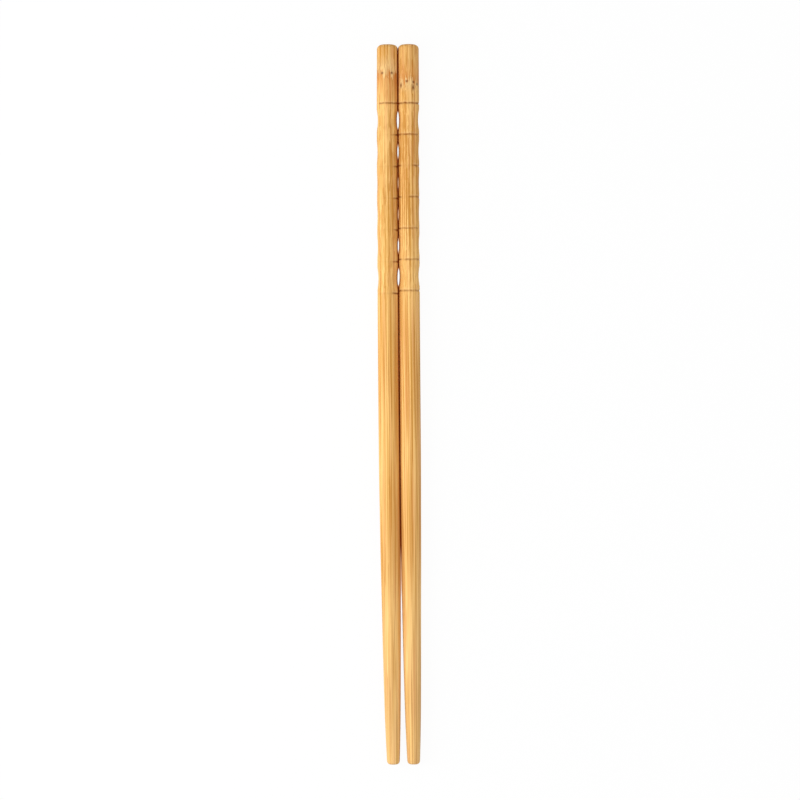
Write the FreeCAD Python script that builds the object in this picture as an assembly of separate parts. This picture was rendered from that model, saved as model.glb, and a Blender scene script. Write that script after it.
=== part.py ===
"""A pair of bamboo chopsticks lying side by side on a table, in millimetres.

Each stick is one round, turned piece: a grip with seven carved rings and six shallow waists between
them, a plain shaft, and a long rounded taper to the tip. The frame has +Z up, the sticks along Y with
their butt ends towards +Y, and its origin on the table under the middle of the pair.
"""

import FreeCAD, Part
import math
import os

# Stick, measured from the butt end or from the tip end
LENGTH = 240.0
SHAFT_DIAMETER = 7.1
BUTT_DIAMETER = 7.0
BUTT_EDGE_RADIUS = 1.5
TAPER_LENGTH = 115.0
NECK_DIAMETER = 5.5
NECK_FROM_TIP = 21.0
TIP_DIAMETER = 4.2
TIP_EDGE_RADIUS = 1.0

# Carved grip, measured from the butt end
RING_COUNT = 7
FIRST_RING = 19.7
RING_GROOVE_WIDTH = 0.5
RING_GROOVE_DEPTH = 0.25
LAND_AFTER_RING = 2.1
LAND_BEFORE_RING = 1.1
WAIST_DEPTH_AT_ENDS = 0.34
WAIST_DEPTH_IN_MIDDLE = 0.16

# The pair: the rings of the left stick are cut a little further apart than those of the right one
LEFT_RING_PITCH = 10.55
RIGHT_RING_PITCH = 10.4
SIDE_GAP = 0.05

SHAFT_RADIUS = SHAFT_DIAMETER / 2
BUTT_RADIUS = BUTT_DIAMETER / 2
NECK_RADIUS = NECK_DIAMETER / 2
TIP_RADIUS = TIP_DIAMETER / 2

# A stick lies on its widest place and comes nearest to its neighbour there
WIDEST_RADIUS = max(SHAFT_RADIUS, BUTT_RADIUS, NECK_RADIUS, TIP_RADIUS)
STICK_SPACING = 2 * WIDEST_RADIUS + SIDE_GAP


def point(distance, radius):
    """A point of the half outline: distance from the butt end, and radius from the axis."""
    return FreeCAD.Vector(radius, LENGTH / 2 - distance, 0)


def line(start, end):
    return Part.LineSegment(start, end).toShape()


def arc(start, middle, end):
    return Part.Arc(start, middle, end).toShape()


def rounded_edge(start, end, centre):
    """A quarter round from start to end about centre."""
    across = (start + end) * 0.5 - centre
    middle = centre + across * (start.distanceToPoint(centre) / across.Length)
    return arc(start, middle, end)


def leaving_arc(start, direction, end):
    """The arc that leaves start along direction and ends at end, and the direction in which it arrives."""
    chord = end - start
    half_turn = direction.getAngle(chord)
    along = chord * (direction.dot(chord) / chord.dot(chord))
    across = direction - along
    height = chord.Length / 2 * math.tan(half_turn / 2)
    middle = start + chord * 0.5 + across * (height / across.Length)
    return arc(start, middle, end), along * 2 - direction


def waist_depth(index):
    """Depth of a waist: the outer ones are cut deeper than those in the middle of the grip."""
    middle = (RING_COUNT - 2) / 2
    share = ((index - middle) / max(middle, 0.5)) ** 2
    return WAIST_DEPTH_IN_MIDDLE + (WAIST_DEPTH_AT_ENDS - WAIST_DEPTH_IN_MIDDLE) * share


def butt_outline():
    """Flat butt end with a rounded rim, up to the first ring's groove."""
    rim = point(0, BUTT_RADIUS - BUTT_EDGE_RADIUS)
    side = point(BUTT_EDGE_RADIUS, BUTT_RADIUS)
    rim_centre = point(BUTT_EDGE_RADIUS, BUTT_RADIUS - BUTT_EDGE_RADIUS)
    first_groove = point(FIRST_RING - RING_GROOVE_WIDTH / 2, SHAFT_RADIUS)
    return [line(point(0, 0), rim), rounded_edge(rim, side, rim_centre), line(side, first_groove)]


def groove_outline(ring):
    """The V groove at one ring."""
    bottom = point(ring, SHAFT_RADIUS - RING_GROOVE_DEPTH)
    return [
        line(point(ring - RING_GROOVE_WIDTH / 2, SHAFT_RADIUS), bottom),
        line(bottom, point(ring + RING_GROOVE_WIDTH / 2, SHAFT_RADIUS)),
    ]


def waist_outline(ring, next_ring, depth):
    """The land after one ring, the hollow waist, and the land before the next ring."""
    start = ring + LAND_AFTER_RING
    end = next_ring - LAND_BEFORE_RING
    waist_start = point(start, SHAFT_RADIUS)
    waist_end = point(end, SHAFT_RADIUS)
    return [
        line(point(ring + RING_GROOVE_WIDTH / 2, SHAFT_RADIUS), waist_start),
        arc(waist_start, point((start + end) / 2, SHAFT_RADIUS - depth), waist_end),
        line(waist_end, point(next_ring - RING_GROOVE_WIDTH / 2, SHAFT_RADIUS)),
    ]


def grip_outline(pitch):
    """All rings and the waists between them."""
    edges = []
    for index in range(RING_COUNT):
        ring = FIRST_RING + index * pitch
        edges += groove_outline(ring)
        if index < RING_COUNT - 1:
            edges += waist_outline(ring, ring + pitch, waist_depth(index))
    return edges


def shaft_outline(pitch):
    """The plain shaft, its taper in two arcs that flow into each other, and the rounded tip."""
    last_ring = FIRST_RING + (RING_COUNT - 1) * pitch
    taper_start = point(LENGTH - TAPER_LENGTH, SHAFT_RADIUS)
    neck = point(LENGTH - NECK_FROM_TIP, NECK_RADIUS)
    tip_side = point(LENGTH - TIP_EDGE_RADIUS, TIP_RADIUS)
    tip_rim = point(LENGTH, TIP_RADIUS - TIP_EDGE_RADIUS)
    tip_centre = point(LENGTH - TIP_EDGE_RADIUS, TIP_RADIUS - TIP_EDGE_RADIUS)
    towards_tip = FreeCAD.Vector(0, -1, 0)
    long_taper, at_neck = leaving_arc(taper_start, towards_tip, neck)
    tip_taper, _ = leaving_arc(neck, at_neck, tip_side)
    return [
        line(point(last_ring + RING_GROOVE_WIDTH / 2, SHAFT_RADIUS), taper_start),
        long_taper,
        tip_taper,
        rounded_edge(tip_side, tip_rim, tip_centre),
        line(tip_rim, point(LENGTH, 0)),
    ]


def chopstick(axis_x, pitch):
    """One turned stick lying on the table, its axis along Y at axis_x."""
    edges = butt_outline() + grip_outline(pitch) + shaft_outline(pitch)
    edges.append(line(point(LENGTH, 0), point(0, 0)))
    outline = Part.Face(Part.Wire(edges))
    stick = outline.revolve(FreeCAD.Vector(0, 0, 0), FreeCAD.Vector(0, 1, 0), 360)
    stick.translate(FreeCAD.Vector(axis_x, 0, WIDEST_RADIUS))
    return stick


def main():
    sticks = {
        "left_chopstick": chopstick(-STICK_SPACING / 2, LEFT_RING_PITCH),
        "right_chopstick": chopstick(STICK_SPACING / 2, RIGHT_RING_PITCH),
    }
    os.makedirs("parts", exist_ok=True)
    for name, stick in sticks.items():
        stick.exportStep(f"parts/{name}.step")
        print(name, "valid", stick.isValid(), "volume", round(stick.Volume, 1), "faces", len(stick.Faces))


main()
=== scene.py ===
"""A pair of turned bamboo chopsticks lying side by side on a white table, seen from straight above.

The frame gives each stick its place and length; the sticks' own measures below are in millimetres.
"""

import math

import bmesh
import bpy
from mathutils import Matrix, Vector, noise


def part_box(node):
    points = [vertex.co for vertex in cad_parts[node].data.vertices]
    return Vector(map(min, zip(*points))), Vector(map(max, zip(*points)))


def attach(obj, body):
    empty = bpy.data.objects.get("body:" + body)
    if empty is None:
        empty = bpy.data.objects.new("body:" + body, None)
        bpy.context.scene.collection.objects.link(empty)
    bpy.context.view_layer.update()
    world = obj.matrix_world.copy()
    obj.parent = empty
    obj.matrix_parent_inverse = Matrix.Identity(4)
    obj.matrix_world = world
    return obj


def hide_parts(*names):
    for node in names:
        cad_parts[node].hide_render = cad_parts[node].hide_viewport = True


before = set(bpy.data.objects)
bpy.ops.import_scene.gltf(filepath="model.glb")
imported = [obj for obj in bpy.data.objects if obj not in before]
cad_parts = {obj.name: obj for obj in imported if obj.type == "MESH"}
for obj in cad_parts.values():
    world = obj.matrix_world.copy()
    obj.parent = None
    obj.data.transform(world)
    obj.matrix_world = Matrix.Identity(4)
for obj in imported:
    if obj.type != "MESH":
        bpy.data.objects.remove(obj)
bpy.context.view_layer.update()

MM = 0.001
LENGTH = (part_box("left_chopstick")[1][1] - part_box("left_chopstick")[0][1]) / MM

# A stick, measured from its butt end or from its tip
SHAFT_RADIUS = 3.55
BUTT_RADIUS = 3.5
BUTT_EDGE = 1.5
TAPER_LENGTH = 115.0
NECK_RADIUS = 2.75
NECK_FROM_TIP = 21.0
TIP_RADIUS = 2.1
TIP_EDGE = 1.0

# The carved grip, measured from the butt end
RING_COUNT = 7
FIRST_RING = 19.7
RING_PITCH = {"left_chopstick": 10.55, "right_chopstick": 10.4}
GROOVE_DEPTH = 0.16
GROOVE_HALF_WIDTH = 0.31
GROOVE_REACH = 0.8
# A painted highlight on each groove's edge, a pale line on its butt side: how far from the ring and how wide
LIP_HIGHLIGHT_FROM_RING = 0.5
LIP_HIGHLIGHT_HALF_WIDTH = 0.18
LAND_AFTER_RING = 1.6
LAND_BEFORE_RING = 1.2
WAIST_DEPTH_AT_ENDS = 0.34
WAIST_DEPTH_IN_MIDDLE = 0.12
WAIST_ROUNDNESS = 1.3

# Where each ring's groove is cut full and darkened, burnt and with painted shade where it lies in shade:
# from and to which turn from the top in degrees, and how dark. Elsewhere the groove is faint.
BURN_AND_SHADE_SPANS = {
    "left_chopstick": [
        (-50, 130, 0.55), (30, 150, 0.3), (40, 120, 0.5), (35, 120, 0.5), (40, 140, 0.35), (30, 125, 0.55),
        (30, 130, 0.8)],
    "right_chopstick": [
        (-85, 110, 0.65), (-50, 60, 0.5), (25, 100, 0.5), (5, 95, 0.55), (-45, 60, 0.38), (-30, 85, 0.45),
        (-60, 110, 0.45)],
}
BURN_AND_SHADE_FADE = 24.0
FAINT_SHARE = 0.11

# The grooves wobble along the stick, and their depth varies round it, from the least up by the spread
GROOVE_WOBBLE = 0.3
WOBBLES_ROUND = 3
WOBBLE_SEED = 5
GROOVE_LEAST = 0.45
GROOVE_SPREAD = 1.1
PATCHES_ROUND = 5
PATCH_SEED = 9
GROOVE_CHANCE_LENGTH = 3.0

# Noise on the skin is read round a circle of this radius, and each step of its seed shifts it by this
CHANCE_RADIUS = 0.9
CHANCE_SHIFT = (7.3, 3.1, 11.7)

# How far a real pair is from straight and round
PAIR_BOW = 0.42
PAIR_BOW_CENTRE = -0.2
CONTACT_GAP = 0.01
PARTING = 155.0
TOE_IN = 0.15
TOE_IN_FROM = 168.0
TOE_IN_LENGTH = 20.0
OVAL = 0.03
OVAL_TWIST_LENGTH = 70.0
SANDING = 0.05
SANDING_LENGTH = 22.0

# The side that faces the other stick, as the sine of the turn: where the cutter and the sander hardly reach
# and the grooves are painted dark as shade, and the narrow line of painted shade where the sticks touch,
# which ends past their parting and before the rims
PINCHED_FROM = 0.5
PINCHED_SHALLOWER = 0.5
CONTACT_SHADE_FROM = 0.89
CONTACT_SHADE_FADE = 0.06
CONTACT_SHADE_END = PARTING + 30.0
CONTACT_SHADE_END_FADE = 25.0
CONTACT_SHADE_RIM_FADE = BUTT_EDGE / 4

# End grain begins where a rounded rim has dropped this far below the stick's plain radius, and is full
# where it has dropped by the fade as well
END_GRAIN_FROM = 0.35
END_GRAIN_FADE = 1.15

# Fineness of the mesh
SEGMENTS = 144
GRIP_STEP = 0.45
SHAFT_STEP = 1.0
GROOVE_STEP = 0.07
SCAR_STEP = 0.15
SCAR_REACH = 2.2
EDGE_STEPS = 8
FACE_RINGS = 7
WELD = 0.0005

# The scar of the culm's node on each stick: its distance from the butt end, and its pits as distance,
# turn from the top in degrees, length and depth
SCAR_AT = {"left_chopstick": 9.6, "right_chopstick": 12.6}
PITS = {
    "left_chopstick": [
        (9.7, -29, 0.8, 0.1), (9.7, 27, 0.8, 0.1), (9.2, 118, 0.6, 0.1), (9.9, -140, 0.5, 0.1)],
    "right_chopstick": [
        (12.5, -9, 0.8, 0.1), (12.8, 29, 0.8, 0.1), (14.6, 27, 1.8, 0.06), (13.8, -46, 1.6, 0.06),
        (13.4, 56, 0.9, 0.08), (12.2, -150, 0.6, 0.1)],
}
PIT_HALF_WIDTH = 0.4

# On which side of the scar the strands are stained: towards the tip (1) or the butt end (-1). The stain
# fades away from the scar; the other side is pale over half that length.
STAINED_SIDE = {"left_chopstick": 1, "right_chopstick": -1}
SCAR_FADE = {"left_chopstick": 12.0, "right_chopstick": 7.5}
SCAR_STAIN_SHARE = 0.75
SCAR_PALE_SHARE = 0.35
SCAR_SPREAD = 3.5
SCAR_CONTRAST = 0.7

# The scar's toothed edge, and the streaks that its stain keeps to: each follows strands of this size, in
# mm across and along. The stain is least between streaks.
SCAR_FRINGE = 13.0
FRINGE_SIZE = (0.45, 14.0)
STREAK_FROM = 0.3
STREAK_FULL = 0.5
STREAK_LEAST = 0.15

# Where in the culm each stick was cut, in turn and in mm, and how far the strands past the scar are shifted
CULM_TURN = {"left_chopstick": math.radians(20), "right_chopstick": math.radians(-35)}
CULM_SHIFT_X = 41.0
CULM_SHIFT_Z = 23.0
SCAR_JUMP_X = 31.7
SCAR_JUMP_Z = 17.3

# How far strands stray sideways in mm, and the size of each waver in mm across and along. They are torn
# on the grip, from just past its last ring, and swirl beside the scar.
WANDER = 0.25
WANDER_SIZE = (6.0, 50.0)
TORN = 0.15
TORN_SIZE = (0.9, 5.0)
TORN_PAST_GRIP = 6.0
TORN_FULL_IN_GRIP = 2.0
SWIRL = 1.1
SWIRL_SIZE = (1.6, 3.0)

# Strands as they show on the skin: width and length in mm, and how much each layer counts in the tone.
# Single fibres are about 0.02 mm wide, too fine to show, so the finest layer is drawn as narrow bands.
STRANDS = [(0.11, 30.0, 0.4), (0.22, 45.0, 0.8), (0.36, 20.0, 0.45)]
STRAND_SHIFT = 57.0
LAYER_SHIFT = 91.0

# The hard bundles, about 1 mm apart: in nearly even rows on the skin, and as dots on the ends
ROW_SIZE = (0.9, 60.0)
ROW_JITTER = 0.5
ROW_SHIFT = 19.0
ROW_REACH = 0.8
ROW_SHARE = 1.1
BUNDLE_SIZE = (1.05, 70.0)
BUNDLE_EDGE = 0.24
BUNDLE_CORE = 0.1
BUNDLE_SHARE_ON_SIDE = 0.35
BUNDLE_SHARE_ON_END = 0.75

# Short flecks of cut strands on the grip
FLECK_SIZE = (0.3, 4.0)
FLECK_SHARE = 0.6

# Pink and golden strands, by the level of one noise
TINT_SIZE = (0.8, 35.0)
GOLD_FROM = 0.47
GOLD_FULL = 0.3
GOLD_SHARE = 0.3
BLUSH_FROM = 0.53
BLUSH_FULL = 0.72
BLUSH_SHARE = 0.35

# Cream towards the tip and brown towards the butt end, measured from the butt end
TIP_CREAM_FROM = 140.0
TIP_CREAM_SHARE = 0.26
BUTT_BROWN_FROM = 18.0
BUTT_BROWN_FULL = 8.0
BUTT_BROWN_SHARE = 0.15

# Colours of the bamboo
STRAND_DARK = "#CA8834"
STRAND_PALE = "#FFCE80"
TIP_CREAM = "#F4D9A3"
BLUSH = "#EEA66E"
GOLD = "#E8B054"
BUNDLE_BROWN = "#B06A20"
SCAR_STAIN = "#D07A2C"
# Pale cream, for the pale side of the node scar and for the painted highlight on the groove edges
PALE_AND_LIP_HIGHLIGHT = "#F8DDA8"

# The marks kept on the mesh, with how strongly each colours the skin: end grain, a painted highlight on the
# groove edges, burnt grooves with painted shade, painted shade where the sticks touch, and the node's pits
MARK_STAINS_AND_PAINTED_LIGHT = [
    ("end_grain", 0.6, "#B07438"),
    ("lip_highlight", 0.3, PALE_AND_LIP_HIGHLIGHT),
    ("burn_and_shade", 1.0, "#7A3604"),
    ("contact_shade", 0.9, "#A64200"),
    ("pit", 1.0, "#743400"),
]

# The sanded surface: dense pale tissue is smoother than the dark strands, which stand a little lower
GRAIN_RELIEF = 0.04
GRAIN_RELIEF_SHARE = 0.6
DARK_ROUGHNESS = 0.68
PALE_ROUGHNESS = 0.54
BAMBOO_IOR = 1.5
BAMBOO_SHEEN = 0.2

# The studio, in metres
TABLE_HALF_WIDTH = 3.0
TABLE_WHITE = "#FAFAFA"
TABLE_BOUNCE = "#C8C8C8"
TABLE_PLAIN_SHARE = 0.95
SURROUND_LEVEL = 0.92
SOFT_BOX_PLACE = (-0.38, -0.03, 0.225)
SOFT_BOX_WIDTH = 0.22
SOFT_BOX_LENGTH = 0.6
SOFT_BOX_LEVEL = 0.65
CAMERA_LENS = 108.0
CAMERA_SENSOR = 36.0
VIEW_WIDTH = 0.2670
CAMERA_REACH = VIEW_WIDTH * CAMERA_LENS / CAMERA_SENSOR
VIEW_CENTRE_Y = 0.00151
CAMERA_ROLL = -0.0081

# The strip of table between the sticks, in mm, and the widths of gap at which it has each of its colours
NOOK_BROWN = "#803200"
NOOK_BEIGE = "#EDB98C"
NOOK_WHITE = "#FFFFFF"
NOOK_HALF_WIDTH = 0.3
NOOK_STEP = 0.4
NOOK_FROM = 2.5
NOOK_TO = 190.0
NOOK_LIFT = 0.02
DARK_GAP = 0.16
BEIGE_GAP = 0.26
WHITE_GAP = 0.38


def smooth(share):
    """0 below 0, 1 above 1, and an even S between."""
    share = min(max(share, 0.0), 1.0)
    return share * share * (3 - 2 * share)


def side_of(name):
    """-1 for the left stick and 1 for the right one."""
    return -1 if name == "left_chopstick" else 1


def ring_places(name):
    return [FIRST_RING + index * RING_PITCH[name] for index in range(RING_COUNT)]


def plain_radius(distance):
    """Radius of the stick before it is carved: butt, shaft, long taper and quicker taper to the tip."""
    neck_at = LENGTH - NECK_FROM_TIP
    long_taper = TAPER_LENGTH - NECK_FROM_TIP
    narrowing = SHAFT_RADIUS - NECK_RADIUS
    if distance < FIRST_RING:
        return BUTT_RADIUS + (SHAFT_RADIUS - BUTT_RADIUS) * distance / FIRST_RING
    if distance < neck_at:
        run = max(distance - (LENGTH - TAPER_LENGTH), 0) / long_taper
        return SHAFT_RADIUS - narrowing * run * run
    slope = 2 * narrowing / long_taper
    past_neck = distance - neck_at
    rest = NECK_RADIUS - TIP_RADIUS - slope * NECK_FROM_TIP
    return NECK_RADIUS - slope * past_neck - rest * (past_neck / NECK_FROM_TIP) ** 2


def side_step(distance, name):
    """How far on the next ring of the mesh lies: finest at the grooves, fine at the scar and the grip."""
    rings = ring_places(name)
    if min(abs(distance - ring) for ring in rings) < GROOVE_REACH:
        return GROOVE_STEP
    if min(abs(distance - pit[0]) for pit in PITS[name]) < SCAR_REACH:
        return SCAR_STEP
    return GRIP_STEP if distance < rings[-1] else SHAFT_STEP


def half_outline(name):
    """Distance and radius of each ring of the mesh, from the middle of the butt end to that of the tip."""
    butt_flat = BUTT_RADIUS - BUTT_EDGE
    points = [(0.0, butt_flat * ring / FACE_RINGS) for ring in range(FACE_RINGS)]
    for step in range(EDGE_STEPS):
        turn = math.pi / 2 * step / EDGE_STEPS
        points.append((BUTT_EDGE * (1 - math.cos(turn)), butt_flat + BUTT_EDGE * math.sin(turn)))
    distance = BUTT_EDGE
    while distance < LENGTH - TIP_EDGE:
        points.append((distance, plain_radius(distance)))
        distance += side_step(distance, name)
    tip_flat = TIP_RADIUS - TIP_EDGE
    for step in range(EDGE_STEPS + 1):
        turn = math.pi / 2 * step / EDGE_STEPS
        points.append((LENGTH - TIP_EDGE * (1 - math.sin(turn)), tip_flat + TIP_EDGE * math.cos(turn)))
    points += [(LENGTH, tip_flat * ring / FACE_RINGS) for ring in range(FACE_RINGS - 1, -1, -1)]
    return points


def waist_depth_at(distance, rings):
    """How deep the waists are cut at a distance: hollows between the rings, shallower in mid grip."""
    middle = (RING_COUNT - 2) / 2
    for index, (ring, next_ring) in enumerate(zip(rings, rings[1:])):
        start = ring + LAND_AFTER_RING
        end = next_ring - LAND_BEFORE_RING
        if start < distance < end:
            across = (2 * distance - start - end) / (end - start)
            share = ((index - middle) / middle) ** 2
            depth = WAIST_DEPTH_IN_MIDDLE + (WAIST_DEPTH_AT_ENDS - WAIST_DEPTH_IN_MIDDLE) * share
            return depth * (1 - across * across) ** WAIST_ROUNDNESS
    return 0.0


def around(turn, distance, length, seed):
    """Smooth noise from 0 to 1 on the skin of a stick, about length long; each seed is another noise."""
    place = Vector((math.sin(turn) * CHANCE_RADIUS, math.cos(turn) * CHANCE_RADIUS, distance / length))
    return 0.5 + 0.5 * noise.noise(place + Vector([seed * shift for shift in CHANCE_SHIFT]))


def groove_shares(distance, turn, pinched, name, seed):
    """How deep a ring groove cuts the skin, and how dark it is, burnt and with painted shade, which is
    darkest in the crevice on the side facing the other stick; the pale line on its butt side is a painted
    highlight.
    """
    for ring, (start, end, darkness) in zip(ring_places(name), BURN_AND_SHADE_SPANS[name]):
        if abs(distance - ring) < GROOVE_REACH:
            wobble = around(turn * WOBBLES_ROUND, ring, GROOVE_CHANCE_LENGTH, seed + WOBBLE_SEED) - 0.5
            from_groove = distance - ring - GROOVE_WOBBLE * wobble
            groove = math.exp(-(from_groove / GROOVE_HALF_WIDTH) ** 2)
            lip_highlight = math.exp(-((from_groove + LIP_HIGHLIGHT_FROM_RING) / LIP_HIGHLIGHT_HALF_WIDTH) ** 2)
            inside = min(math.degrees(turn) - start, end - math.degrees(turn)) / BURN_AND_SHADE_FADE + 0.5
            share = FAINT_SHARE + (1 - FAINT_SHARE) * smooth(inside)
            patch = around(turn * PATCHES_ROUND, ring, GROOVE_CHANCE_LENGTH, seed + PATCH_SEED)
            share *= GROOVE_LEAST + GROOVE_SPREAD * patch
            burn_and_shade = darkness * share
            depth = groove * share * (1 - PINCHED_SHALLOWER * pinched)
            # Facing the other stick the groove is painted dark as shade in the crevice; its butt-side edge
            # gets a painted highlight.
            return depth, groove * max(burn_and_shade, pinched), lip_highlight * burn_and_shade
    return 0.0, 0.0, 0.0


def pit_shares(distance, turn, radius, pits):
    """1 in the middle of a pit of the node scar, and its depth."""
    share, depth = 0.0, 0.0
    for place, degrees, length, pit_depth in pits:
        across = (turn - math.radians(degrees)) * radius / PIT_HALF_WIDTH
        along = (distance - place) / (length / 2)
        here = math.exp(-across * across - along * along)
        share = max(share, here)
        depth = max(depth, here * pit_depth)
    return share, depth


def contact_shade_share(distance, facing, below_plain):
    """1 on the line where the stick touches the other one, where shade is painted: along its side, and not
    on its rounded rim.
    """
    on_line = smooth((facing - CONTACT_SHADE_FROM) / CONTACT_SHADE_FADE)
    before_end = smooth((CONTACT_SHADE_END - distance) / CONTACT_SHADE_END_FADE)
    return on_line * before_end * smooth(1 - below_plain / CONTACT_SHADE_RIM_FADE)


def axis_spacing(distance):
    """How far apart the two axes are: the sticks touch up to their parting, then draw together a little."""
    toe_in = TOE_IN * smooth((distance - TOE_IN_FROM) / TOE_IN_LENGTH)
    return 2 * plain_radius(min(distance, PARTING)) + CONTACT_GAP - toe_in


def pair_bow(distance):
    """How far the middle of the pair lies sideways, because both sticks bow."""
    along = 1 - 2 * distance / LENGTH
    return PAIR_BOW_CENTRE + PAIR_BOW * along * along


def gap_at(distance):
    """Width of the gap between the sticks."""
    radii = [plain_radius(distance) - waist_depth_at(distance, ring_places(name)) for name in RING_PITCH]
    return axis_spacing(distance) - sum(radii)


def carve(mesh, name, seed):
    """Cuts rings, waists, pits and the unevenness of sanding into the turned blank, and marks its skin, with
    painted shade and a painted highlight among the marks.
    """
    layers = mesh.verts.layers.float
    marks = {mark: layers.new(mark) for mark in ("burn_and_shade", "contact_shade", "lip_highlight", "pit", "end_grain")}
    rings = ring_places(name)
    for vert in mesh.verts:
        distance = LENGTH / 2 - vert.co.y
        radius = math.hypot(vert.co.x, vert.co.z)
        turn = math.atan2(vert.co.x, vert.co.z)
        plain = plain_radius(distance)
        facing = -side_of(name) * math.sin(turn)
        pinched = smooth((facing - PINCHED_FROM) / (1 - PINCHED_FROM))
        groove, vert[marks["burn_and_shade"]], vert[marks["lip_highlight"]] = groove_shares(distance, turn, pinched, name, seed)
        vert[marks["pit"]], pit_depth = pit_shares(distance, turn, radius, PITS[name])
        # Painted shade on the line where the sticks touch
        vert[marks["contact_shade"]] = contact_shade_share(distance, facing, plain - radius)
        vert[marks["end_grain"]] = smooth((plain - radius - END_GRAIN_FROM) / END_GRAIN_FADE)
        cut = OVAL * (0.5 - 0.5 * math.cos(2 * turn - distance / OVAL_TWIST_LENGTH + seed))
        cut += SANDING * around(turn, distance, SANDING_LENGTH, seed)
        cut *= 1 - pinched
        cut += waist_depth_at(distance, rings)
        cut += GROOVE_DEPTH * groove + pit_depth
        keep = 1 - cut / plain
        vert.co.x *= keep
        vert.co.z *= keep


def object_from(mesh, name):
    """A mesh that is finished, as an object of the scene."""
    data = bpy.data.meshes.new(name)
    mesh.to_mesh(data)
    mesh.free()
    made = bpy.data.objects.new(name, data)
    bpy.context.scene.collection.objects.link(made)
    return made


def turned_stick(name, seed):
    """One stick: its half outline spun round its axis, carved, bowed and laid on the table."""
    mesh = bmesh.new()
    outline = [mesh.verts.new((radius, LENGTH / 2 - distance, 0)) for distance, radius in half_outline(name)]
    edges = [mesh.edges.new(pair) for pair in zip(outline, outline[1:])]
    bmesh.ops.spin(mesh, geom=outline + edges, cent=(0, 0, 0), axis=(0, 1, 0), dvec=(0, 0, 0),
                   angle=math.tau, steps=SEGMENTS, use_merge=True)
    bmesh.ops.remove_doubles(mesh, verts=mesh.verts, dist=WELD)
    bmesh.ops.recalc_face_normals(mesh, faces=mesh.faces)
    carve(mesh, name, seed)
    for vert in mesh.verts:
        distance = LENGTH / 2 - vert.co.y
        sideways = pair_bow(distance) + side_of(name) * axis_spacing(distance) / 2
        vert.co = (vert.co + Vector((sideways, 0, SHAFT_RADIUS))) * MM
    for face in mesh.faces:
        face.smooth = True
    return object_from(mesh, f"{name}_turned")


def linear(hex_colour):
    """An sRGB hex colour as linear red, green, blue and alpha."""
    parts = [int(hex_colour[i:i + 2], 16) / 255 for i in (1, 3, 5)]
    return [p / 12.92 if p <= 0.04045 else ((p + 0.055) / 1.055) ** 2.4 for p in parts] + [1.0]


def add(tree, kind, settings=None, inputs=None):
    """Adds a node, sets its properties, and sets or links its inputs, a node by its first output."""
    made = tree.nodes.new(kind)
    for key, value in (settings or {}).items():
        setattr(made, key, value)
    for key, value in (inputs or {}).items():
        if isinstance(value, bpy.types.Node):
            value = value.outputs[0]
        if isinstance(value, bpy.types.NodeSocket):
            tree.links.new(value, made.inputs[key])
        else:
            made.inputs[key].default_value = value
    return made


def new_material(name):
    """An empty material and its node tree."""
    material = bpy.data.materials.new(name)
    material.use_nodes = True
    material.node_tree.nodes.clear()
    return material, material.node_tree


def strand_scale(size):
    """Scale of a pattern from the size of its cells in mm, across and along the strands."""
    across, along = size
    return 1 / across, 1 / along, 1 / across


def waver(tree, culm, size, reach):
    """Smooth noise in the culm, as a push sideways of up to about reach."""
    cloud = add(tree, "ShaderNodeTexNoise", None, {
        "Vector": add(tree, "ShaderNodeMapping", None, {"Vector": culm, "Scale": strand_scale(size)}),
        "Scale": 1.0, "Detail": 1.0})
    push = add(tree, "ShaderNodeVectorMath", {"operation": "SUBTRACT"}, {
        0: cloud.outputs["Color"], 1: (0.5, 0.5, 0.5)})
    return add(tree, "ShaderNodeVectorMath", {"operation": "MULTIPLY"}, {
        0: push, 1: (2 * reach, 0, 2 * reach)})


def scar_places(tree, name, culm, along):
    """Where a place lies to the scar.

    That is: how far past it on its stained side, how near to it, whether beyond its toothed edge, and how
    much in a streak.
    """
    past = add(tree, "ShaderNodeMath", {"operation": "MULTIPLY_ADD"}, {
        0: along, 1: -STAINED_SIDE[name], 2: (LENGTH / 2 - SCAR_AT[name]) * STAINED_SIDE[name]})
    near = add(tree, "ShaderNodeMath", {"operation": "DIVIDE"}, {0: past, 1: SCAR_SPREAD})
    near = add(tree, "ShaderNodeMath", {"operation": "MULTIPLY"}, {0: near, 1: near})
    near = add(tree, "ShaderNodeMath", {"operation": "MULTIPLY"}, {0: near, 1: -1.0})
    near = add(tree, "ShaderNodeMath", {"operation": "EXPONENT"}, {0: near})
    fringe = add(tree, "ShaderNodeTexNoise", None, {
        "Vector": add(tree, "ShaderNodeMapping", None, {
            "Vector": culm, "Scale": strand_scale(FRINGE_SIZE)}),
        "Scale": 1.0, "Detail": 1.0})
    in_streaks = add(tree, "ShaderNodeMapRange", None, {
        "Value": fringe, "From Min": STREAK_FROM, "From Max": STREAK_FULL,
        "To Min": STREAK_LEAST, "To Max": 1.0})
    teeth = add(tree, "ShaderNodeMath", {"operation": "MULTIPLY_ADD"}, {
        0: fringe, 1: SCAR_FRINGE, 2: -SCAR_FRINGE / 2})
    beyond = add(tree, "ShaderNodeMath", {"operation": "ADD"}, {0: past, 1: teeth})
    beyond = add(tree, "ShaderNodeMath", {"operation": "GREATER_THAN"}, {0: beyond, 1: 0.0})
    return past, near, beyond, in_streaks


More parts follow.
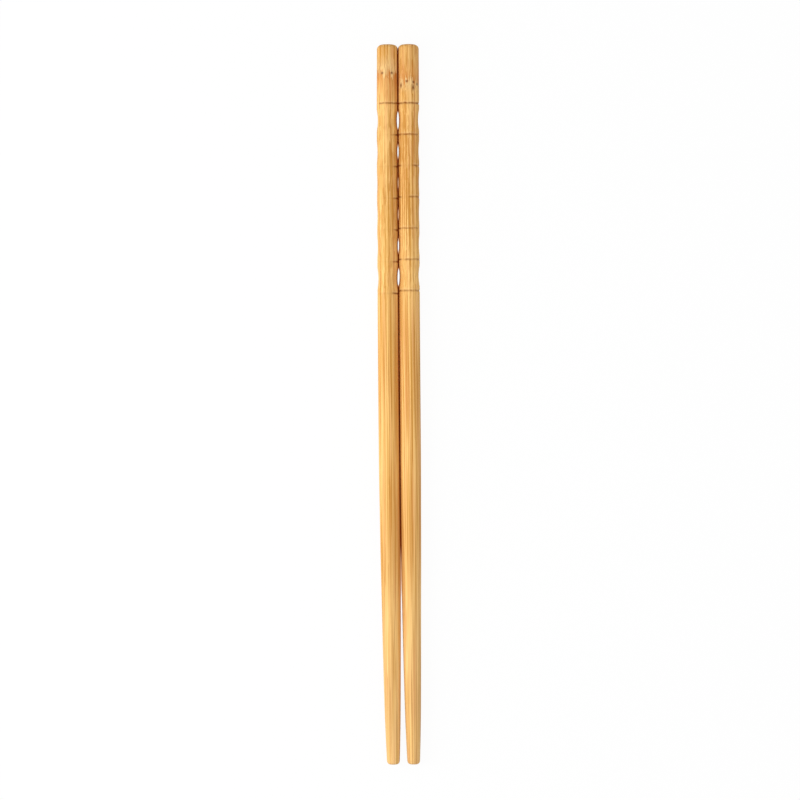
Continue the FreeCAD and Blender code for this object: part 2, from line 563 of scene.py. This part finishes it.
def strand_stray(tree, culm, grip, near_scar, beyond):
    """How far the strands stray.

    They wander a little along the stick, more on the grip, where the cutter tore them, and swirl beside
    the scar, where those of its two sides do not meet.
    """
    wander = waver(tree, culm, WANDER_SIZE, WANDER)
    torn = waver(tree, culm, TORN_SIZE, TORN)
    torn = add(tree, "ShaderNodeVectorMath", {"operation": "SCALE"}, {0: torn, "Scale": grip})
    swirl = waver(tree, culm, SWIRL_SIZE, SWIRL)
    swirl = add(tree, "ShaderNodeVectorMath", {"operation": "SCALE"}, {0: swirl, "Scale": near_scar})
    jump = add(tree, "ShaderNodeCombineXYZ", None, {
        "X": add(tree, "ShaderNodeMath", {"operation": "MULTIPLY"}, {0: beyond, 1: SCAR_JUMP_X}),
        "Z": add(tree, "ShaderNodeMath", {"operation": "MULTIPLY"}, {0: beyond, 1: SCAR_JUMP_Z})})
    stray = wander
    for more in (torn, swirl, jump):
        stray = add(tree, "ShaderNodeVectorMath", {"operation": "ADD"}, {0: stray, 1: more})
    return stray


def unrolled_skin(tree, centred, stray):
    """The skin laid flat: how far round the stick a place lies, with its stray, and how far along."""
    place = add(tree, "ShaderNodeSeparateXYZ", None, {"Vector": centred})
    turn = add(tree, "ShaderNodeMath", {"operation": "ARCTAN2"}, {
        0: place.outputs["X"], 1: place.outputs["Z"]})
    off_axis = add(tree, "ShaderNodeVectorMath", {"operation": "LENGTH"}, {
        0: add(tree, "ShaderNodeVectorMath", {"operation": "MULTIPLY"}, {0: centred, 1: (1, 0, 1)})})
    sideways = add(tree, "ShaderNodeSeparateXYZ", None, {"Vector": stray}).outputs["X"]
    way_round = add(tree, "ShaderNodeMath", {"operation": "MULTIPLY_ADD"}, {
        0: turn, 1: off_axis.outputs["Value"], 2: sideways})
    return add(tree, "ShaderNodeCombineXYZ", None, {"X": way_round, "Y": place.outputs["Y"]})


def strand_tone(tree, skin, fibre, grip, near_scar, on_side, seed):
    """How pale the grain is, 0.5 on the whole: strands, rows of bundles and, on the grip, flecks.

    The contrast is stronger beside the scar, and none is left on the ends.
    """
    tone = 0.5 - sum(weight for _, _, weight in STRANDS) / 2
    for width, length, weight in STRANDS:
        layer = add(tree, "ShaderNodeTexVoronoi", {"voronoi_dimensions": "2D"}, {
            "Vector": add(tree, "ShaderNodeMapping", None, {
                "Vector": skin, "Scale": strand_scale((width, length)),
                "Location": (seed * STRAND_SHIFT, width * LAYER_SHIFT, 0)}),
            "Scale": 1.0})
        layer = add(tree, "ShaderNodeSeparateColor", None, {"Color": layer.outputs["Color"]})
        tone = add(tree, "ShaderNodeMath", {"operation": "MULTIPLY_ADD"}, {0: layer, 1: weight, 2: tone})

    row = add(tree, "ShaderNodeTexVoronoi", {"voronoi_dimensions": "2D"}, {
        "Vector": add(tree, "ShaderNodeMapping", None, {
            "Vector": skin, "Scale": strand_scale(ROW_SIZE), "Location": (seed * ROW_SHIFT, 0, 0)}),
        "Scale": 1.0, "Randomness": ROW_JITTER})
    between_rows = add(tree, "ShaderNodeMapRange", {"clamp": False}, {
        "Value": row, "From Min": 0.0, "From Max": ROW_REACH,
        "To Min": -ROW_SHARE / 2, "To Max": ROW_SHARE / 2})
    tone = add(tree, "ShaderNodeMath", {"operation": "ADD"}, {0: tone, 1: between_rows})

    fleck = add(tree, "ShaderNodeTexVoronoi", None, {
        "Vector": add(tree, "ShaderNodeMapping", None, {
            "Vector": fibre, "Scale": strand_scale(FLECK_SIZE)}),
        "Scale": 1.0})
    fleck = add(tree, "ShaderNodeSeparateColor", None, {"Color": fleck.outputs["Color"]})
    fleck = add(tree, "ShaderNodeMath", {"operation": "MULTIPLY_ADD"}, {
        0: fleck, 1: FLECK_SHARE, 2: -FLECK_SHARE / 2})
    tone = add(tree, "ShaderNodeMath", {"operation": "MULTIPLY_ADD"}, {0: fleck, 1: grip, 2: tone})

    contrast = add(tree, "ShaderNodeMath", {"operation": "MULTIPLY_ADD"}, {
        0: near_scar, 1: SCAR_CONTRAST, 2: 1.0})
    contrast = add(tree, "ShaderNodeMath", {"operation": "MULTIPLY"}, {0: contrast, 1: on_side})
    tone = add(tree, "ShaderNodeMath", {"operation": "SUBTRACT"}, {0: tone, 1: 0.5})
    return add(tree, "ShaderNodeMath", {"operation": "MULTIPLY_ADD"}, {0: tone, 1: contrast, 2: 0.5})


def length_stains(tree, along):
    """The tips are creamier and the butt ends browner than the shaft."""
    towards_tip = add(tree, "ShaderNodeMapRange", {"interpolation_type": "SMOOTHSTEP"}, {
        "Value": along, "From Min": LENGTH / 2 - TIP_CREAM_FROM, "From Max": -LENGTH / 2,
        "To Min": 0.0, "To Max": TIP_CREAM_SHARE})
    towards_butt = add(tree, "ShaderNodeMapRange", {"interpolation_type": "SMOOTHSTEP"}, {
        "Value": along, "From Min": LENGTH / 2 - BUTT_BROWN_FROM, "From Max": LENGTH / 2 - BUTT_BROWN_FULL,
        "To Min": 0.0, "To Max": BUTT_BROWN_SHARE})
    return [(towards_tip, TIP_CREAM), (towards_butt, BUNDLE_BROWN)]


def strand_stains(tree, fibre, on_side):
    """Some strands are pink and some golden, and the hard bundles are brown."""
    tint = add(tree, "ShaderNodeTexNoise", None, {
        "Vector": add(tree, "ShaderNodeMapping", None, {
            "Vector": fibre, "Scale": strand_scale(TINT_SIZE)}),
        "Scale": 1.0, "Detail": 1.0})
    gold = add(tree, "ShaderNodeMapRange", None, {
        "Value": tint, "From Min": GOLD_FROM, "From Max": GOLD_FULL, "To Min": 0.0, "To Max": GOLD_SHARE})
    blush = add(tree, "ShaderNodeMapRange", None, {
        "Value": tint, "From Min": BLUSH_FROM, "From Max": BLUSH_FULL, "To Min": 0.0, "To Max": BLUSH_SHARE})
    bundles = add(tree, "ShaderNodeTexVoronoi", None, {
        "Vector": add(tree, "ShaderNodeMapping", None, {
            "Vector": fibre, "Scale": strand_scale(BUNDLE_SIZE)}),
        "Scale": 1.0})
    bundle_share = add(tree, "ShaderNodeMath", {"operation": "MULTIPLY_ADD"}, {
        0: on_side, 1: BUNDLE_SHARE_ON_SIDE - BUNDLE_SHARE_ON_END, 2: BUNDLE_SHARE_ON_END})
    bundles = add(tree, "ShaderNodeMapRange", {"interpolation_type": "SMOOTHSTEP"}, {
        "Value": bundles, "From Min": BUNDLE_EDGE, "From Max": BUNDLE_CORE,
        "To Min": 0.0, "To Max": bundle_share})
    return [(blush, BLUSH), (gold, GOLD), (bundles, BUNDLE_BROWN)]


def scar_stains(tree, name, past_scar, beyond, in_streaks):
    """Beyond its toothed edge the scar is stained in streaks that fade, and before the edge it is pale."""
    fading = add(tree, "ShaderNodeMapRange", None, {
        "Value": past_scar, "From Min": SCAR_FADE[name], "From Max": 0.0,
        "To Min": 0.0, "To Max": SCAR_STAIN_SHARE})
    stained = add(tree, "ShaderNodeMath", {"operation": "MULTIPLY"}, {0: beyond, 1: fading})
    stained = add(tree, "ShaderNodeMath", {"operation": "MULTIPLY"}, {0: stained, 1: in_streaks})
    rising = add(tree, "ShaderNodeMapRange", None, {
        "Value": past_scar, "From Min": -SCAR_FADE[name] / 2, "From Max": 0.0,
        "To Min": 0.0, "To Max": SCAR_PALE_SHARE})
    not_beyond = add(tree, "ShaderNodeMath", {"operation": "SUBTRACT"}, {0: 1.0, 1: beyond})
    pale = add(tree, "ShaderNodeMath", {"operation": "MULTIPLY"}, {0: not_beyond, 1: rising})
    return [(stained, SCAR_STAIN), (pale, PALE_AND_LIP_HIGHLIGHT)]


def mark_stains_and_painted_light(tree):
    """The marks kept on the mesh: end grain, the node's pits, burnt grooves with painted shade, a painted
    highlight on their butt-side edges, and painted shade where the sticks touch.
    """
    overlays = []
    for mark, share, overlay in MARK_STAINS_AND_PAINTED_LIGHT:
        marked = add(tree, "ShaderNodeAttribute", {"attribute_name": mark}).outputs["Fac"]
        overlays.append((add(tree, "ShaderNodeMath", {"operation": "MULTIPLY"}, {0: marked, 1: share}), overlay))
    return overlays


def sanded_bamboo(name, seed):
    """Moso bamboo, turned across the culm wall, sanded and left uncoated.

    Straight strands of pale tissue and darker bundles run the length of the stick, so they show as fine
    streaks on its skin, as short flames where a waist cuts across them, and as dots on its ends. The
    culm's node near the butt end breaks them off and swirls them round a few dark pits.
    """
    material, tree = new_material(f"sanded_bamboo_{name}")
    low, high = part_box(name)
    axis_x = (low[0] + high[0]) / 2 / MM
    centred = add(tree, "ShaderNodeMapping", None, {
        "Vector": add(tree, "ShaderNodeTexCoord").outputs["Object"],
        "Scale": (1 / MM, 1 / MM, 1 / MM), "Location": (-axis_x, 0, -SHAFT_RADIUS)})
    culm = add(tree, "ShaderNodeMapping", None, {
        "Vector": centred, "Rotation": (0, CULM_TURN[name], 0),
        "Location": (seed * CULM_SHIFT_X, 0, seed * CULM_SHIFT_Z)})
    along = add(tree, "ShaderNodeSeparateXYZ", None, {"Vector": centred}).outputs["Y"]
    grip_end = LENGTH / 2 - ring_places(name)[-1]
    grip = add(tree, "ShaderNodeMapRange", {"interpolation_type": "SMOOTHSTEP"}, {
        "Value": along, "From Min": grip_end - TORN_PAST_GRIP, "From Max": grip_end + TORN_FULL_IN_GRIP})
    on_end = add(tree, "ShaderNodeAttribute", {"attribute_name": "end_grain"}).outputs["Fac"]
    on_side = add(tree, "ShaderNodeMath", {"operation": "SUBTRACT"}, {0: 1.0, 1: on_end})

    past_scar, near_scar, beyond, in_streaks = scar_places(tree, name, culm, along)
    stray = strand_stray(tree, culm, grip, near_scar, beyond)
    fibre = add(tree, "ShaderNodeVectorMath", {"operation": "ADD"}, {0: culm, 1: stray})
    skin = unrolled_skin(tree, centred, stray)
    tone = strand_tone(tree, skin, fibre, grip, near_scar, on_side, seed)

    colour = add(tree, "ShaderNodeMix", {"data_type": "RGBA"}, {
        "Factor": tone, "A": linear(STRAND_DARK), "B": linear(STRAND_PALE)})
    overlays = length_stains(tree, along) + strand_stains(tree, fibre, on_side)
    # The mark colours include painted shade in the grooves and where the sticks touch, and a painted
    # highlight on the groove edges.
    overlays += scar_stains(tree, name, past_scar, beyond, in_streaks) + mark_stains_and_painted_light(tree)
    for amount, overlay in overlays:
        colour = add(tree, "ShaderNodeMix", {"data_type": "RGBA"}, {
            "Factor": amount, "A": colour.outputs[2], "B": linear(overlay)})

    bump = add(tree, "ShaderNodeBump", None, {
        "Height": tone, "Strength": GRAIN_RELIEF_SHARE, "Distance": GRAIN_RELIEF * MM})
    roughness = add(tree, "ShaderNodeMapRange", None, {
        "Value": tone, "From Min": 0.0, "From Max": 1.0, "To Min": DARK_ROUGHNESS, "To Max": PALE_ROUGHNESS})
    shader = add(tree, "ShaderNodeBsdfPrincipled", None, {
        "Base Color": colour.outputs[2], "Roughness": roughness, "IOR": BAMBOO_IOR,
        "Specular IOR Level": BAMBOO_SHEEN, "Normal": bump})
    add(tree, "ShaderNodeOutputMaterial", None, {"Surface": shader})
    return material


def camera_sees(tree):
    """1 for rays that show a background to the camera, directly or in a reflection."""
    rays = add(tree, "ShaderNodeLightPath")
    seen = add(tree, "ShaderNodeMath", {"operation": "ADD"}, {
        0: rays.outputs["Is Camera Ray"], 1: rays.outputs["Is Glossy Ray"]})
    return add(tree, "ShaderNodeMath", {"operation": "ADD", "use_clamp": True}, {
        0: seen, 1: rays.outputs["Is Transmission Ray"]})


def matt_white_laminate():
    """Matt white laminate: plain white to the camera but for a faint shadow.

    In the light that it throws back onto the sticks it is greyer.
    """
    material, tree = new_material("matt_white_laminate")
    seen = camera_sees(tree)
    colour = add(tree, "ShaderNodeMix", {"data_type": "RGBA"}, {
        "Factor": seen, "A": linear(TABLE_BOUNCE), "B": linear(TABLE_WHITE)})
    lit = add(tree, "ShaderNodeBsdfDiffuse", None, {"Color": colour.outputs[2]})
    white = add(tree, "ShaderNodeEmission", None, {"Strength": 1.0})
    share = add(tree, "ShaderNodeMath", {"operation": "MULTIPLY"}, {0: seen, 1: TABLE_PLAIN_SHARE})
    surface = add(tree, "ShaderNodeMixShader", None, {0: share, 1: lit, 2: white})
    add(tree, "ShaderNodeOutputMaterial", None, {"Surface": surface})
    return material


def shaded_white_laminate():
    """The same laminate in the shade between the sticks, where the camera sees the tint of the mesh."""
    material, tree = new_material("shaded_white_laminate")
    tint = add(tree, "ShaderNodeAttribute", {"attribute_name": "tint"})
    lit = add(tree, "ShaderNodeBsdfDiffuse", None, {"Color": linear(TABLE_BOUNCE)})
    shade = add(tree, "ShaderNodeEmission", None, {"Color": tint, "Strength": 1.0})
    surface = add(tree, "ShaderNodeMixShader", None, {0: camera_sees(tree), 1: lit, 2: shade})
    add(tree, "ShaderNodeOutputMaterial", None, {"Surface": surface})
    return material


def white_table():
    """A wide table top that reads as pure white and keeps a faint shadow of the sticks."""
    mesh = bmesh.new()
    bmesh.ops.create_grid(mesh, x_segments=1, y_segments=1, size=TABLE_HALF_WIDTH)
    table = object_from(mesh, "white_table")
    table.data.materials.append(matt_white_laminate())


def gap_tint(width):
    """Linear colour of the table in a gap: light that comes by way of the wood is beige, not yet white."""
    brown, beige, white = (Vector(linear(tint)) for tint in (NOOK_BROWN, NOOK_BEIGE, NOOK_WHITE))
    if width < BEIGE_GAP:
        return brown.lerp(beige, smooth((width - DARK_GAP) / (BEIGE_GAP - DARK_GAP)))
    return beige.lerp(white, smooth((width - BEIGE_GAP) / (WHITE_GAP - BEIGE_GAP)))


def nook_on_table():
    """The strip of table seen between the sticks: brown shade where the gap is narrow, white where wide.

    The camera looks past the sticks' axes, onto a point of the table slightly further out.
    """
    look_past = 1 + SHAFT_RADIUS * MM / CAMERA_REACH
    middle = (NOOK_FROM + NOOK_TO) / 2
    half_length = (NOOK_TO - NOOK_FROM) / 2
    mesh = bmesh.new()
    bmesh.ops.create_grid(mesh, x_segments=1, y_segments=round(2 * half_length / NOOK_STEP), size=1.0)
    tint = mesh.verts.layers.float_color.new("tint")
    for vert in mesh.verts:
        distance = middle - vert.co.y * half_length
        from_centre = LENGTH / 2 - distance
        vert[tint] = gap_tint(gap_at(LENGTH / 2 - from_centre / look_past))
        across = pair_bow(distance) + vert.co.x * NOOK_HALF_WIDTH
        vert.co = Vector((across, from_centre, NOOK_LIFT)) * MM
    nook = object_from(mesh, "nook_on_table")
    nook.data.materials.append(shaded_white_laminate())


def white_surroundings():
    """Plain white to the camera, and slightly dimmer as light on the sticks."""
    world = bpy.data.worlds.new("white_studio")
    world.use_nodes = True
    tree = world.node_tree
    tree.nodes.clear()
    strength = add(tree, "ShaderNodeMapRange", None, {
        "Value": camera_sees(tree), "To Min": SURROUND_LEVEL, "To Max": 1.0})
    sky = add(tree, "ShaderNodeBackground", None, {"Strength": strength})
    add(tree, "ShaderNodeOutputWorld", None, {"Surface": sky})
    bpy.context.scene.world = world


def long_soft_box():
    """A long soft box low on the left, beside the whole pair; its level is the light it throws there."""
    throw = Vector((SOFT_BOX_PLACE[0], 0, SOFT_BOX_PLACE[2]))
    lamp = bpy.data.lights.new("long_soft_box", "AREA")
    lamp.shape = "RECTANGLE"
    lamp.size = SOFT_BOX_WIDTH
    lamp.size_y = SOFT_BOX_LENGTH
    lamp.energy = 4 * math.pi * SOFT_BOX_LEVEL * throw.length_squared
    holder = bpy.data.objects.new("long_soft_box", lamp)
    holder.location = SOFT_BOX_PLACE
    holder.rotation_euler = throw.to_track_quat("Z", "Y").to_euler()
    holder.visible_camera = False
    bpy.context.scene.collection.objects.link(holder)


def camera_above():
    """A camera straight above the pair, turned slightly so that the butt ends lean left in the picture."""
    camera = bpy.data.cameras.new("camera")
    camera.lens = CAMERA_LENS
    camera.sensor_width = CAMERA_SENSOR
    holder = bpy.data.objects.new("camera", camera)
    holder.location = (0, VIEW_CENTRE_Y, SHAFT_RADIUS * MM + CAMERA_REACH)
    holder.rotation_euler = (0, 0, CAMERA_ROLL)
    bpy.context.scene.collection.objects.link(holder)
    bpy.context.scene.camera = holder


def main():
    bpy.context.scene.view_settings.view_transform = "Standard"
    white_table()
    nook_on_table()
    white_surroundings()
    long_soft_box()
    camera_above()
    for seed, name in enumerate(("left_chopstick", "right_chopstick"), start=1):
        stick = turned_stick(name, seed)
        stick.data.materials.append(sanded_bamboo(name, seed))
        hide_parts(name)
        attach(stick, "root")


main()
